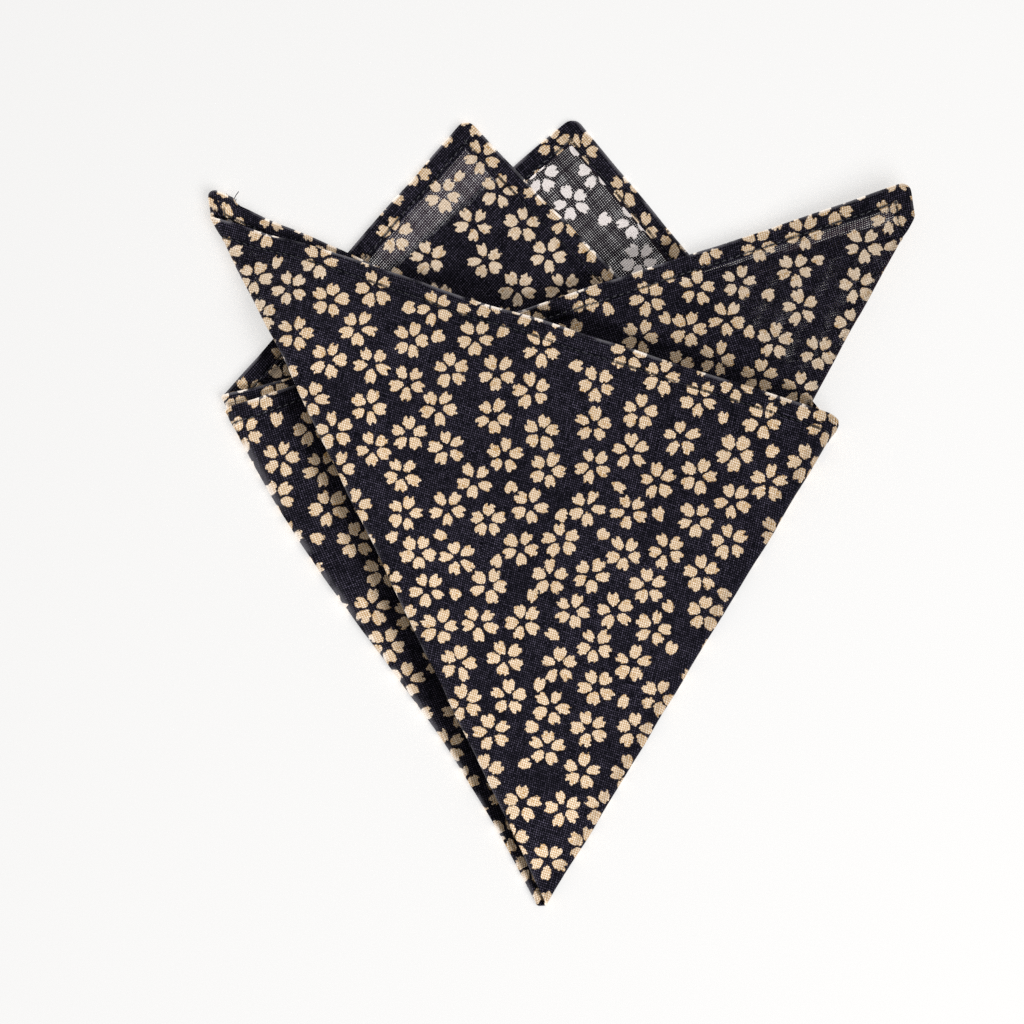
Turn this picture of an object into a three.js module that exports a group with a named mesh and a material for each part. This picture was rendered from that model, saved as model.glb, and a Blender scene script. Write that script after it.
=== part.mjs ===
// A printed cotton handkerchief, folded flat into a fan with four points above one tip.
//
// It is one sheet of cloth with its hems turned, so it is one closed solid. The square is first
// folded in half along its diagonal, wrong sides together, with the two peaks a little apart.
// The left wing is then turned over to the right along a crease that starts at the tip, and the
// right wing is turned over it to the left, which leaves six layers in the middle.
//
// All plans are in the frame of the first fold: X runs along it, Y up the fan, and the origin is
// the tip, where both creases start. The doubled cloth is drawn there as it lies after the first
// fold, and a second set of functions folds it over the creases and settles it on the surface.
import * as THREE from 'three';

const { degToRad, smoothstep, clamp } = THREE.MathUtils;

// The sheet, in millimetres
const THICKNESS = 1;
const CLEARANCE = 0.35;
const PITCH = THICKNESS + CLEARANCE;

// How finely the cloth is divided: squares set along its hems, and steps around each bend
const SQUARE = 11;
const WELD = 0.2;
const FOLD_STEPS = 4;
const PROBE = 0.02;

// Half the side of the field that the cells are cut from, well past every hem
const FIELD = 600;

// The first fold: its slope against the fan's own X, and how far it runs on both sides of the tip
const FOLD_SLOPE = degToRad(2);
const FOLD_END = { left: -250.5, right: 246.5 };
const HALF_FOLD = (Math.PI * PITCH) / 4;

// The creases that turn the wings over. The foot lies on the first fold, the turn is measured
// from it, and the radius is that of the doubled cloth: the right wing goes over the left one.
const CREASES = {
  left: makeCrease({ foot: -0.3, turn: 119.6, outward: 1, radius: PITCH, steps: 6 }),
  right: makeCrease({ foot: 0.3, turn: 57.2, outward: -1, radius: 2 * PITCH, steps: 8 }),
};

// Where the hems run, as distances from the tip and turns from the first fold. Each half of the
// cloth has a peak, a reach along both creases, and one of the sheet's two side corners.
const HALVES = [
  {
    face: 1,
    peak: { reach: 249.5, turn: 93.4 },
    creaseReach: { left: 189.1, right: 160 },
    corner: { wing: 'right', reach: 247.6, turn: 112.2 },
  },
  {
    face: -1,
    peak: { reach: 249.2, turn: 85.6 },
    creaseReach: { left: 184.6, right: 177.3 },
    corner: { wing: 'left', reach: 256, turn: 61.2 },
  },
];

// A layer keeps its full height for EASE past the hem beneath it, and is down after FALL more
const EASE = 11;
const FALL = 20;

// Slack that holds neighbouring layers further apart, along a line from one place to another
const SLACK = [
  { above: 0, from: [10, 215], to: [45, 195], reach: 22, rise: 0.9 },
  { above: 1, from: [-60, 120], to: [-40, 160], reach: 26, rise: 0.7 },
  { above: 2, from: [60, 110], to: [105, 190], reach: 24, rise: 1.0 },
  { above: 3, from: [-22, 60], to: [-72, 172], reach: 20, rise: 2.6 },
  { above: 3, from: [20, 170], to: [80, 155], reach: 22, rise: 1.4 },
  { above: 4, from: [-80, 195], to: [-40, 195], reach: 20, rise: 1.6 },
  { above: 4, from: [10, 90], to: [30, 130], reach: 30, rise: 0.9 },
];

// The left crease wanders in an S about its own line, and the top hem of the front is pulled up
const CREASE_SWING = { size: 2.5, wave: 190, reach: 22, fromLevel: 3, toLevel: 4 };
const HEM_PULL = { at: [-50, 206], reach: 34, rise: 1 };

function makeCrease({ foot, turn, outward, radius, steps }) {
  const angle = degToRad(turn);
  const along = new THREE.Vector2(Math.cos(angle), Math.sin(angle));
  const out = new THREE.Vector2(-along.y, along.x).multiplyScalar(outward);
  const bendLength = Math.PI * radius;
  return { foot: new THREE.Vector2(foot, 0), along, out, radius, bendLength, steps };
}

function polar({ reach, turn }) {
  return new THREE.Vector2(reach, 0).rotateAround(new THREE.Vector2(), degToRad(turn));
}

function creasePoint(crease, reach) {
  return crease.foot.clone().addScaledVector(crease.along, reach);
}

// The place on the doubled cloth, before the wings are turned, of a point seen on a turned wing
function unturned(point, crease) {
  const fromFoot = point.clone().sub(crease.foot);
  const beyond = crease.bendLength - fromFoot.dot(crease.out);
  return creasePoint(crease, fromFoot.dot(crease.along)).addScaledVector(crease.out, beyond);
}

// ---- Dividing the doubled cloth into cells --------------------------------------------------
// A line is a point and a normal; the side that its normal points to is kept.

const FOLD_LINE = { point: new THREE.Vector2(), normal: new THREE.Vector2(0, 1) };

// A hem from a to b, which keeps the side that the tip is on
function hemLine(a, b) {
  const normal = new THREE.Vector2(a.y - b.y, b.x - a.x).normalize();
  if (a.dot(normal) > 0) normal.negate();
  return { point: a, normal };
}

function creaseLine(crease, distance, direction) {
  const point = crease.foot.clone().addScaledVector(crease.out, distance);
  return { point, normal: crease.out.clone().multiplyScalar(direction) };
}

function sideOf(point, line) {
  return point.clone().sub(line.point).dot(line.normal);
}

// The part of a convex cell on the kept side of a line
function clip(cell, line) {
  const kept = [];
  cell.forEach((corner, i) => {
    const next = cell[(i + 1) % cell.length];
    const here = sideOf(corner, line);
    const there = sideOf(next, line);
    if (here >= 0) kept.push(corner);
    if ((here < 0 && there > 0) || (here > 0 && there < 0)) {
      kept.push(corner.clone().lerp(next, here / (here - there)));
    }
  });
  return kept.length > 2 ? [kept] : [];
}

function split(cells, line) {
  const otherSide = { point: line.point, normal: line.normal.clone().negate() };
  return cells.flatMap((cell) => [...clip(cell, line), ...clip(cell, otherSide)]);
}

function bounded(lines) {
  const quarters = [[-1, -1], [1, -1], [1, 1], [-1, 1]];
  const start = quarters.map(([x, y]) => new THREE.Vector2(x, y).multiplyScalar(FIELD));
  return lines.reduce((cells, line) => cells.flatMap((cell) => clip(cell, line)), [start]);
}

// The wing of one half beyond a crease, and the bend that leads to it
function wingCells(half, side) {
  const crease = CREASES[side];
  const reach = half.creaseReach[side];
  const hemStart = creasePoint(crease, reach).addScaledVector(crease.out, crease.bendLength);
  const foldEnd = new THREE.Vector2(FOLD_END[side], 0);
  const corners = [hemStart];
  if (half.corner.wing === side) corners.push(unturned(polar(half.corner), crease));
  corners.push(foldEnd);
  const hems = corners.slice(1).map((corner, i) => hemLine(corners[i], corner));
  const wing = bounded([FOLD_LINE, creaseLine(crease, crease.bendLength, 1), ...hems]);

  const bendEnd = { point: creasePoint(crease, reach), normal: crease.along.clone().negate() };
  const starts = creaseLine(crease, 0, 1);
  const ends = creaseLine(crease, crease.bendLength, -1);
  let bend = bounded([FOLD_LINE, starts, ends, bendEnd]);
  for (let step = 1; step < crease.steps; step++) {
    bend = split(bend, creaseLine(crease, (crease.bendLength * step) / crease.steps, 1));
  }
  return [...wing, ...bend];
}

function bodyCells(half) {
  const peak = polar(half.peak);
  const leftHem = hemLine(creasePoint(CREASES.left, half.creaseReach.left), peak);
  const rightHem = hemLine(peak, creasePoint(CREASES.right, half.creaseReach.right));
  const insides = [creaseLine(CREASES.left, 0, -1), creaseLine(CREASES.right, 0, -1)];
  return bounded([FOLD_LINE, ...insides, leftHem, rightHem]);
}

function halfCells(half) {
  let cells = [...bodyCells(half), ...wingCells(half, 'left'), ...wingCells(half, 'right')];
  const rows = Math.ceil(FOLD_END.right / SQUARE);
  for (const slant of [1, -1]) {
    const normal = new THREE.Vector2(slant, 1).normalize();
    for (let row = -rows; row <= rows; row++) {
      cells = split(cells, { point: normal.clone().multiplyScalar(row * SQUARE), normal });
    }
  }
  return cells;
}

// ---- Folding and settling --------------------------------------------------------------------

// A place on the doubled cloth turned over a crease: where it comes to lie, which way its upper
// side faces there, and which way leads away from the first fold
function turnOver(place, crease) {
  const flat = new THREE.Vector2(place.at.x, place.at.y).sub(crease.foot);
  const beyond = flat.dot(crease.out);
  if (beyond <= 0) return place;
  const angle = Math.min(beyond / crease.radius, Math.PI);
  const rest = Math.max(beyond - crease.bendLength, 0);
  const along = new THREE.Vector3(crease.along.x, crease.along.y, 0);
  const out = new THREE.Vector3(crease.out.x, crease.out.y, 0);
  const onward = out.clone().multiplyScalar(Math.cos(angle));
  onward.z = Math.sin(angle);
  const at = new THREE.Vector3(crease.foot.x, crease.foot.y, place.at.z)
    .addScaledVector(along, flat.dot(crease.along))
    .addScaledVector(out, crease.radius * Math.sin(angle))
    .addScaledVector(onward, rest);
  at.z += crease.radius * (1 - Math.cos(angle));
  const up = out.clone().multiplyScalar(-Math.sin(angle));
  up.z = Math.cos(angle);
  const away = along.clone().multiplyScalar(place.away.dot(along));
  away.addScaledVector(onward, place.away.dot(out));
  return { at, up, away };
}

// x runs along the first fold and v across it, from the under half to the upper half
function folded(x, v) {
  const around = (Math.PI / 2) * (1 - clamp(v / HALF_FOLD, -1, 1));
  const y = Math.max(Math.abs(v) - HALF_FOLD, 0);
  const flat = {
    at: new THREE.Vector3(x, y, PITCH / 2),
    up: new THREE.Vector3(0, 0, 1),
    away: new THREE.Vector3(0, 1, 0),
  };
  const { at, up, away } = turnOver(turnOver(flat, CREASES.left), CREASES.right);
  return at
    .addScaledVector(up, (PITCH / 2) * Math.cos(around))
    .addScaledVector(away, (-PITCH / 2) * Math.sin(around));
}

// The plan of each layer, from the bottom: the bodies of the two halves, then the left wing,
// which lies upper half first, and then the right wing
function layerPlans() {
  const [upper, under] = HALVES;
  const body = (half) => [
    new THREE.Vector2(),
    creasePoint(CREASES.right, half.creaseReach.right),
    polar(half.peak),
    creasePoint(CREASES.left, half.creaseReach.left),
  ];
  const wing = (half, side) => {
    const end = folded(FOLD_END[side], 0);
    const plan = [new THREE.Vector2(), creasePoint(CREASES[side], half.creaseReach[side])];
    if (half.corner.wing === side) plan.push(polar(half.corner));
    plan.push(new THREE.Vector2(end.x, end.y));
    return plan;
  };
  return [
    body(under),
    body(upper),
    wing(upper, 'left'),
    wing(under, 'left'),
    wing(upper, 'right'),
    wing(under, 'right'),
  ];
}

const LAYER_EDGES = layerPlans().map((plan) => {
  const turn = Math.sign(THREE.ShapeUtils.area(plan));
  return plan.map((corner, i) => {
    const next = plan[(i + 1) % plan.length];
    const normal = new THREE.Vector2(next.y - corner.y, corner.x - next.x).normalize();
    return { point: corner, normal: normal.multiplyScalar(turn) };
  });
});

// How much a layer holds up what lies on it: 1 over the layer, 0 well past its edge
function support(layer, plan) {
  const past = Math.max(...LAYER_EDGES[layer].map((edge) => sideOf(plan, edge)));
  return 1 - smoothstep(past, EASE, EASE + FALL);
}

function slack(layer, plan) {
  let rise = 0;
  for (const row of SLACK.filter(({ above }) => above === layer)) {
    const from = new THREE.Vector2(...row.from);
    const line = new THREE.Vector2(...row.to).sub(from);
    const share = clamp(plan.clone().sub(from).dot(line) / line.lengthSq(), 0, 1);
    const distance = plan.distanceTo(from.addScaledVector(line, share));
    rise += row.rise * Math.exp(-((distance / row.reach) ** 2));
  }
  return rise;
}

// Each layer comes down until it rests on the ones beneath it; the lowest lies on the surface
function settle(point) {
  const level = point.z / PITCH;
  const plan = new THREE.Vector2(point.x, point.y);
  let height = THICKNESS / 2;
  for (let layer = 0; layer < LAYER_EDGES.length - 1; layer++) {
    const share = clamp(level - layer, 0, 1);
    if (share > 0) height += share * (PITCH * support(layer, plan) + slack(layer, plan));
  }

  const { along, out, foot } = CREASES.left;
  const fromFoot = plan.clone().sub(foot);
  const beside = fromFoot.dot(out) / CREASE_SWING.reach;
  const wave = Math.sin((2 * Math.PI * fromFoot.dot(along)) / CREASE_SWING.wave);
  const held = 1 - smoothstep(level, CREASE_SWING.fromLevel, CREASE_SWING.toLevel);
  const swing = -CREASE_SWING.size * wave * held * Math.exp(-(beside ** 2));
  const fromPull = plan.distanceTo(new THREE.Vector2(...HEM_PULL.at)) / HEM_PULL.reach;
  const pull = HEM_PULL.rise * (1 - held) * Math.exp(-(fromPull ** 2));
  plan.addScaledVector(out, swing);
  return new THREE.Vector3(plan.x, plan.y + pull, height);
}

// A point of the sheet: on its outer side for depth 1, on its inner side for depth -1
function sheetPoint(x, v, depth) {
  const at = (dx, dv) => settle(folded(x + dx, v + dv));
  const alongX = at(PROBE, 0).sub(at(-PROBE, 0));
  const alongV = at(0, PROBE).sub(at(0, -PROBE));
  const normal = alongX.cross(alongV).normalize();
  return at(0, 0).addScaledVector(normal, (depth * THICKNESS) / 2);
}

// ---- The solid -------------------------------------------------------------------------------

function buildSheet() {
  const places = [];
  const nodes = new Map();
  const triangles = [];

  const placeOf = (point) => {
    const found = places.findIndex((place) => place.distanceTo(point) < WELD);
    return found >= 0 ? found : places.push(point) - 1;
  };
  // A node is a place on the doubled cloth and a step around the first fold
  const nodeOf = (place, step) => {
    const key = `${place}/${step}`;
    if (!nodes.has(key)) {
      const around = HALF_FOLD * (1 - (2 * step) / FOLD_STEPS);
      const v = around + Math.sign(FOLD_STEPS / 2 - step) * places[place].y;
      nodes.set(key, { index: nodes.size, x: places[place].x, v });
    }
    return nodes.get(key).index;
  };
  // A convex cell is cut into triangles from the corner that leaves the broadest ones
  const trianglesOf = (cell) => {
    const corners = cell.map(placeOf).filter((place, i, all) => place !== all.at(i - 1));
    let best = { width: -1 };
    corners.forEach((apex, first) => {
      const fan = [];
      let width = Infinity;
      for (let i = 1; i < corners.length - 1; i++) {
        const b = corners[(first + i) % corners.length];
        const c = corners[(first + i + 1) % corners.length];
        const area = THREE.ShapeUtils.area([places[apex], places[b], places[c]]);
        width = Math.min(width, Math.abs(area) / places[b].distanceTo(places[c]));
        fan.push([apex, b, c]);
      }
      if (width > best.width) best = { width, fan };
    });
    return corners.length > 2 ? best.fan : [];
  };

  for (const half of HALVES) {
    const step = half.face > 0 ? 0 : FOLD_STEPS;
    for (const cell of halfCells(half)) {
      for (const corners of trianglesOf(cell)) {
        const triangle = corners.map((place) => nodeOf(place, step));
        triangles.push(half.face > 0 ? triangle : triangle.reverse());
      }
    }
  }
  const onFold = places.map((_, place) => place).filter((place) => places[place].y < WELD / 2);
  onFold.sort((a, b) => places[a].x - places[b].x);
  for (let i = 0; i < onFold.length - 1; i++) {
    for (let step = 0; step < FOLD_STEPS; step++) {
      const [a, b] = [nodeOf(onFold[i], step + 1), nodeOf(onFold[i + 1], step + 1)];
      const [c, d] = [nodeOf(onFold[i + 1], step), nodeOf(onFold[i], step)];
      triangles.push([a, b, c], [a, c, d]);
    }
  }

  // Both sides of the sheet, and the narrow wall between them along its open edge
  const count = nodes.size;
  const sides = [1, -1].flatMap((depth) =>
    [...nodes.values()].map(({ x, v }) => sheetPoint(x, v, depth)));
  const faces = triangles.flatMap(([a, b, c]) => [[a, b, c], [c + count, b + count, a + count]]);
  const edges = new Set(triangles.flatMap(([a, b, c]) => [`${a},${b}`, `${b},${c}`, `${c},${a}`]));
  for (const edge of edges) {
    const [a, b] = edge.split(',').map(Number);
    if (edges.has(`${b},${a}`)) continue;
    faces.push([b, a, a + count], [b, a + count, b + count]);
  }
  const geometry = new THREE.BufferGeometry().setFromPoints(sides);
  geometry.setIndex(faces.flat());
  return geometry;
}

const geometry = buildSheet().rotateZ(FOLD_SLOPE);
geometry.computeBoundingBox();
const box = geometry.boundingBox;
const centre = box.getCenter(new THREE.Vector3());
geometry.translate(-centre.x, -centre.y, -box.min.z);
geometry.computeVertexNormals();

const cotton = new THREE.MeshStandardMaterial({ color: 0x15151c, roughness: 0.9, metalness: 0 });
const handkerchief = new THREE.Mesh(geometry, cotton);
handkerchief.name = 'handkerchief';

const model = new THREE.Group();
model.add(handkerchief);

export default model;
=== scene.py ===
# A printed cotton handkerchief, folded flat into a fan with four points above one tip.
#
# It is made the way a sewer makes it: a square of cloth is hemmed, folded in half along its
# diagonal, and both of its wings are turned over. Then come its print, its stitches and the loose
# ends of its thread. Lengths of cloth are in millimetres, and turned to metres as a mesh is made.
import math
from functools import partial

import bmesh
import bpy
import numpy as np
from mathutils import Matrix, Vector, kdtree, noise


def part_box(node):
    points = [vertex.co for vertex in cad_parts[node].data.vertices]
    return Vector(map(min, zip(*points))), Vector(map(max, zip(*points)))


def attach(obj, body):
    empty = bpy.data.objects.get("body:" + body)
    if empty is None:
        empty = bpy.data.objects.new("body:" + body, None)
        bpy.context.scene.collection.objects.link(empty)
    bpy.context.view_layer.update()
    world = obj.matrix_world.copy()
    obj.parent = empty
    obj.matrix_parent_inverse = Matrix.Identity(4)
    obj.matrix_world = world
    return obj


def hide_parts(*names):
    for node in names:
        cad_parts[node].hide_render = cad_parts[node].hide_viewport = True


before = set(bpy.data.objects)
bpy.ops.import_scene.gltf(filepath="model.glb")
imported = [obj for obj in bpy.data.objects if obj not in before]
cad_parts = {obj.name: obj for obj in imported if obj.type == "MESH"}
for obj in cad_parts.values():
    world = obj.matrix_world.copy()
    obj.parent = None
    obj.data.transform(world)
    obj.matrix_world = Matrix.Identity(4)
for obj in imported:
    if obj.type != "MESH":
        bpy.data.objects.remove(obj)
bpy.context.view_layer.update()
low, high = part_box("handkerchief")
middle = (low + high) / 2
MM = 0.001


# ---- Camera ----
# It looks steeply down from in front of the tip, from so far away that the cloth shows hardly any
# perspective. The cloth lies a little to the right of the middle of the view.

VIEW_ASIDE = -16.2 * MM
VIEW_WIDTH = 320.8 * MM
VIEW_DISTANCE = 2.0
VIEW_ELEVATION = math.radians(79)


def added(name, data):
    """A new object of the scene."""
    made = bpy.data.objects.new(name, data)
    bpy.context.collection.objects.link(made)
    return made


camera_data = bpy.data.cameras.new("camera")
camera_data.lens = camera_data.sensor_width * VIEW_DISTANCE / VIEW_WIDTH
camera = added("camera", camera_data)
towards_camera = Vector((0, -math.cos(VIEW_ELEVATION), math.sin(VIEW_ELEVATION)))
camera.location = Vector((middle.x + VIEW_ASIDE, middle.y, 0)) + VIEW_DISTANCE * towards_camera
camera.rotation_euler = (math.pi / 2 - VIEW_ELEVATION, 0, 0)
bpy.context.scene.camera = camera


# ---- The folds ----
# One sheet of thin cotton. It is folded in half along a diagonal, wrong sides together, with the
# two peaks a little apart. The left wing is then turned over to the right along a crease that
# starts at the tip, and the right wing is turned over it to the left.
#
# Plans are in the frame of the first fold: x runs along it, y up the fan, and the origin is the
# tip. On the flat cloth, v is y in the upper half and -y in the under half.

FOLD_SLOPE = math.radians(2)
FOLD_END = {"left": -250.5, "right": 248.2}
TIP = Vector((middle.x - 7.36 * MM, low.y + 1.21 * MM, 0))

# How far apart neighbouring layers lie: pressed together at the tip, looser towards the points
PITCH_AT_TIP = 0.5
PITCH_GROWTH = 0.0034
PITCH_GROWS_TO = 270
LEAST_HEIGHT = 0.45

# The radius of a crease is that of the doubled cloth, in pitches
CREASES = {
    "left": {"foot": -0.3, "turn": 119.6, "outward": 1, "radius": 1, "steps": 6},
    "right": {"foot": 0.3, "turn": 57.2, "outward": -1, "radius": 2, "steps": 8},
}
HALVES = {
    "upper": {
        "face": 1, "peak": (252.3, 93.4),
        "reach": {"left": 189.1, "right": 160},
        "corner": {"wing": "right", "place": (248.9, 112.65)},
    },
    "under": {
        "face": -1, "peak": (252.4, 85.6),
        "reach": {"left": 184.6, "right": 177.3},
        "corner": {"wing": "left", "place": (256, 61.2)},
    },
}
FIRST_FOLD_STEPS = 6

# A layer keeps its full height for EASE past the hem beneath it, and is down after FALL more
EASE = 9
FALL = 18

# Slack that holds neighbouring layers further apart: the layer that it lies above, the two ends of
# the line that it lies along, how far it reaches beside that line, and how high it rises
SLACK = [
    (0, (10, 215), (45, 195), 22, 0.9),
    (1, (-60, 120), (-40, 160), 26, 0.7),
    (2, (60, 110), (105, 190), 24, 1.0),
    (3, (-11, 30), (-72, 172), 20, 5.6),
    (3, (-80, 196), (-100, 226), 26, 2.6),
    (3, (8, 182), (92, 150), 18, 5.4),
    (1, (112, 180), (124, 226), 40, 7.0),
    (4, (-80, 195), (-40, 195), 20, 1.6),
    (4, (10, 90), (30, 130), 30, 0.9),
]
SWING = {"size": 2.5, "wave": 190, "reach": 22, "levels": (3, 4)}
HEM_PULL = {"at": (-50, 206), "reach": 34, "rise": 1}

# Unevenness shared by all layers, as the size of the move and of the waves: up and down, sideways
ROLL = {"rise": 0.28, "wave": 34, "seed": 0}
SWAY = {"move": 0.45, "wave": 15, "seeds": (10, 20)}

# The thick corner of the right wing stands out past the thinner hem beside it
STUB = {"level": 4, "within": 0.3, "ends": (7.4, 8.8), "out": 1.8, "turn": 85}


def smoothstep(value, start, end):
    share = np.clip((value - start) / (end - start), 0, 1)
    return share * share * (3 - 2 * share)


def lengths(vectors):
    return np.linalg.norm(vectors, axis=-1)


def unit(vectors):
    """The same directions, each one long."""
    return vectors / lengths(vectors)[..., None]


def polar(reach, turn):
    angle = math.radians(turn)
    return reach * np.array((math.cos(angle), math.sin(angle)))


for crease in CREASES.values():
    crease["along"] = polar(1, crease["turn"])
    crease["out"] = crease["outward"] * np.array((-crease["along"][1], crease["along"][0]))
    crease["start"] = np.array((crease["foot"], 0.0))


def pitch(from_tip):
    return PITCH_AT_TIP + PITCH_GROWTH * np.minimum(from_tip, PITCH_GROWS_TO)


def bend_length(crease, from_tip):
    return math.pi * crease["radius"] * pitch(from_tip)


def crease_point(crease, reach):
    return crease["start"] + reach * crease["along"]


def unturned(point, crease):
    """The place on the doubled cloth of a point that is seen on a turned wing."""
    from_start = point - crease["start"]
    beyond = bend_length(crease, np.hypot(*point)) - from_start @ crease["out"]
    return crease_point(crease, from_start @ crease["along"]) + beyond * crease["out"]


def turn_over(at, up, away, gap, crease):
    """Turns the places beyond a crease over it: where they lie, their upper side, and which way
    leads away from the first fold."""
    radius = crease["radius"] * gap
    from_start = at[:, :2] - crease["start"]
    beyond = from_start @ crease["out"]
    angle = np.clip(beyond / radius, 0, math.pi)
    rest = np.maximum(beyond - math.pi * radius, 0) + np.minimum(beyond, 0)
    along, out, start = (np.append(crease[key], 0) for key in ("along", "out", "start"))
    upright = np.array((0, 0, 1))
    onward = np.outer(np.cos(angle), out) + np.outer(np.sin(angle), upright)
    turned = np.outer(from_start @ crease["along"], along) + start
    turned += np.outer(radius * np.sin(angle), out) + onward * rest[:, None]
    turned[:, 2] += at[:, 2] + radius * (1 - np.cos(angle))
    turned_up = np.outer(-np.sin(angle), out) + np.outer(np.cos(angle), upright)
    turned_away = np.outer(away @ along, along) + onward * (away @ out)[:, None]
    wing = (beyond > 0)[:, None]
    return np.where(wing, turned, at), np.where(wing, turned_up, up), np.where(wing, turned_away, away)


def fold(x, v):
    """Where the middle of the sheet lies before it settles, and the gap between layers there."""
    gap = pitch(np.hypot(x, v))
    half_bend = math.pi * gap / 4
    around = math.pi / 2 * (1 - np.clip(v / half_bend, -1, 1))
    y = np.maximum(np.abs(v) - half_bend, 0)
    at = np.stack((x, y, gap / 2), axis=1)
    up = np.tile((0.0, 0.0, 1.0), (len(x), 1))
    away = np.tile((0.0, 1.0, 0.0), (len(x), 1))
    for crease in CREASES.values():
        at, up, away = turn_over(at, up, away, gap, crease)
    at += up * (gap / 2 * np.cos(around))[:, None]
    at -= away * (gap / 2 * np.sin(around))[:, None]
    return at, gap


def layer_plans():
    """The outline of each layer, from the bottom one up."""
    plans = {}
    for name, half in HALVES.items():
        plans[name, "body"] = [
            np.zeros(2),
            crease_point(CREASES["right"], half["reach"]["right"]),
            polar(*half["peak"]),
            crease_point(CREASES["left"], half["reach"]["left"]),
        ]
        for side, crease in CREASES.items():
            end, _ = fold(np.array([FOLD_END[side]]), np.array([0.0]))
            corner = [polar(*half["corner"]["place"])] if half["corner"]["wing"] == side else []
            start = crease_point(crease, half["reach"][side])
            plans[name, side] = [np.zeros(2), start, *corner, end[0, :2]]
    order = [("under", "body"), ("upper", "body")]
    order += [(half, side) for side in ("left", "right") for half in ("upper", "under")]
    return [np.array(plans[key]) for key in order]


def past_edge(plan, outline):
    """How far each place lies outside an outline, or inside it if that is negative."""
    ends = np.roll(outline, -1, axis=0)
    turn = np.sign(np.sum(outline[:, 0] * ends[:, 1] - outline[:, 1] * ends[:, 0]))
    run = ends - outline
    normal = turn * unit(np.stack((run[:, 1], -run[:, 0]), axis=1))
    return np.max(plan @ normal.T - np.sum(outline * normal, axis=1), axis=1)


LAYERS = layer_plans()


def from_line(plan, start, end):
    """How far each place lies from the line between two others."""
    line = np.subtract(end, start)
    share = np.clip((plan - start) @ line / (line @ line), 0, 1)
    return lengths(plan - start - share[:, None] * line)


def slack(layer, plan):
    total = np.zeros(len(plan))
    for above, start, end, reach, rise in SLACK:
        if above == layer:
            total += rise * np.exp(-((from_line(plan, start, end) / reach) ** 2))
    return total


def unevenness(plan, wave, seed):
    places = plan / wave
    return np.array([noise.noise((x, y, seed)) for x, y in places])


def lay(x, v):
    """Where the middle of the sheet lies when the folded cloth has settled, in millimetres."""
    at, gap = fold(x, v)
    level = at[:, 2] / gap
    plan = at[:, :2]
    height = np.full(len(plan), LEAST_HEIGHT)
    for layer, outline in enumerate(LAYERS[:-1]):
        share = np.clip(level - layer, 0, 1)
        held = 1 - smoothstep(past_edge(plan, outline), EASE, EASE + FALL)
        height += share * (gap * held + slack(layer, plan))
    roll = 1 + unevenness(plan, ROLL["wave"], ROLL["seed"])
    height += np.minimum(level / 2, 1) * ROLL["rise"] * roll

    left = CREASES["left"]
    from_start = plan - left["start"]
    beside = from_start @ left["out"] / SWING["reach"]
    wave = np.sin(2 * math.pi * (from_start @ left["along"]) / SWING["wave"])
    held = 1 - smoothstep(level, *SWING["levels"])
    swing = -SWING["size"] * wave * held * np.exp(-(beside**2))
    from_pull = lengths(plan - HEM_PULL["at"]) / HEM_PULL["reach"]
    pull = HEM_PULL["rise"] * (1 - held) * np.exp(-(from_pull**2))
    sway = [unevenness(plan, SWAY["wave"], seed) for seed in SWAY["seeds"]]
    plan = plan + np.outer(swing, left["out"]) + np.outer(pull, (0, 1))
    from_stub = lengths(plan - polar(*HALVES["upper"]["corner"]["place"]))
    out = STUB["out"] * (1 - smoothstep(from_stub, *STUB["ends"]))
    out[np.abs(level - STUB["level"]) > STUB["within"]] = 0
    plan += np.outer(out, polar(1, STUB["turn"]))
    plan += SWAY["move"] * np.stack(sway, axis=1)
    return np.column_stack((plan, height))


def placed(points):
    """Points of the folded cloth in the part's own frame, in metres."""
    cos, sin = math.cos(FOLD_SLOPE), math.sin(FOLD_SLOPE)
    turned = points @ np.array(((cos, sin, 0), (-sin, cos, 0), (0, 0, 1)))
    return turned * MM + np.array(TIP)


# ---- The cloth ----
# A thin plain-weave cotton, printed on one side only. Its four sides are turned over twice onto
# the wrong side as a narrow hem, so they are three layers thick and show the print on both sides.

CLOTH = 0.34
HEM = {
    "width": 6.0, "thins": (5.9, 6.3), "turned": 0.42, "bulge": 0.34, "corner": 0.5, "round": 0.5,
    "stitch_at": 5.1, "sunk": 0.24, "sunk_beside": 0.45, "sunk_under": 0.6,
}
PUCKER = {"rise": 0.38, "wave": 3.4, "seed": 30, "fades": (3, 8)}
HEM_ROWS = (0, 0.6, 1.8, 3.2, 4.6, 5.1, 5.6, 6.0, 6.4)
SQUARE = 1.95
NEARBY = 6
CUT_REACH = 200.0
LEAST_EDGE = 0.06
CORNER_ROUND = 3.2
RIM_STEPS = 4
INSIDE = 0.4

# Its own weight presses the underside flat on whatever it lies on
RESTS_AT = 0.02


def cloth_corners():
    """The flat places along the four sides of the cloth, each from corner to corner."""
    hem, corner = {}, {}
    for name, half in HALVES.items():
        mirror = np.array((1, half["face"]))
        for side, crease in CREASES.items():
            start = crease_point(crease, half["reach"][side])
            end = start + bend_length(crease, np.hypot(*start)) * crease["out"]
            hem[name, side] = [start * mirror, end * mirror]
            if half["corner"]["wing"] == side:
                corner[side] = unturned(polar(*half["corner"]["place"]), crease) * mirror
    peaks = {name: polar(*half["peak"]) * (1, half["face"]) for name, half in HALVES.items()}
    fold_ends = {side: np.array((reach, 0.0)) for side, reach in FOLD_END.items()}
    return {
        "upper left": [peaks["upper"], *hem["upper", "left"], fold_ends["left"], corner["left"]],
        "under left": [corner["left"], *hem["under", "left"][::-1], peaks["under"]],
        "under right": [peaks["under"], *hem["under", "right"], fold_ends["right"], corner["right"]],
        "upper right": [corner["right"], *hem["upper", "right"][::-1], peaks["upper"]],
    }


SIDES = {name: np.array(points) for name, points in cloth_corners().items()}


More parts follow.
